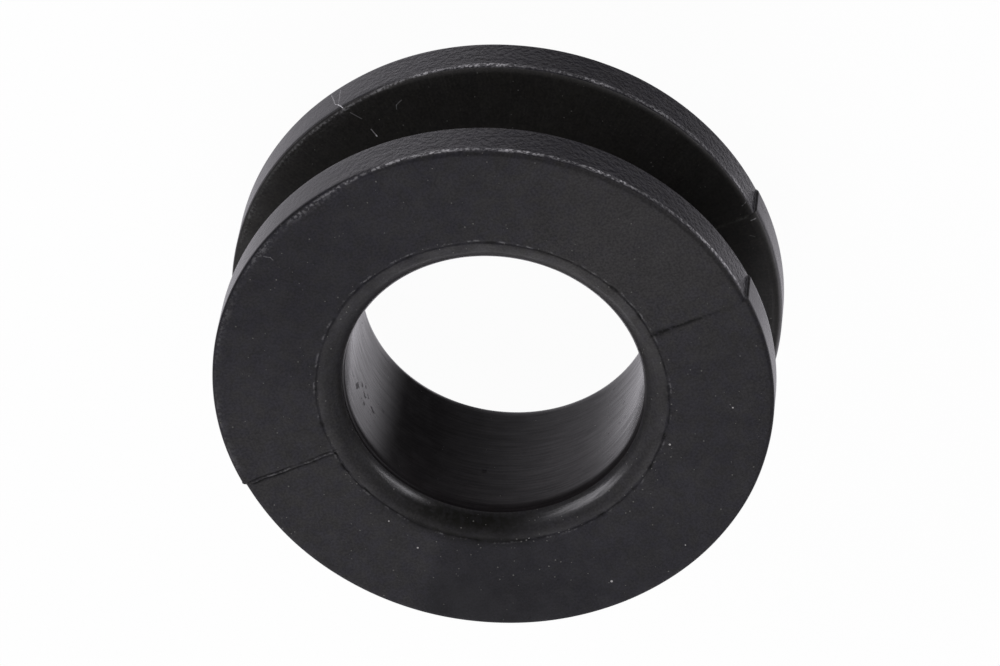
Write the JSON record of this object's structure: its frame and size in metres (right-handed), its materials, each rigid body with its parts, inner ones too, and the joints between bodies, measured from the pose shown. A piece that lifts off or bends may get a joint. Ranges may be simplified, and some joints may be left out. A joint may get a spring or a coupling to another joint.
{
  "type": "tank insulator grommet",
  "caption": "Spool-shaped black rubber grommet that cushions a tank on its bracket: flanges grip the bracket in the groove, and a bolt collar passes through the bell-mouthed bore.",
  "frame": {"origin": "centre of the lower flange's face, on the bore axis", "axes": "+Z along the bore axis, away from the surface that it stands on; +X along the mould's parting plane"},
  "size_m": [0.0402, 0.04, 0.0155],
  "materials": {
    "rubber": "matte moulded rubber with fine grain, smoother and half gloss in the bore and on its mouth"
  },
  "bodies": {
    "root": {"insulator_pad": "rubber"}
  },
  "joints": []
}
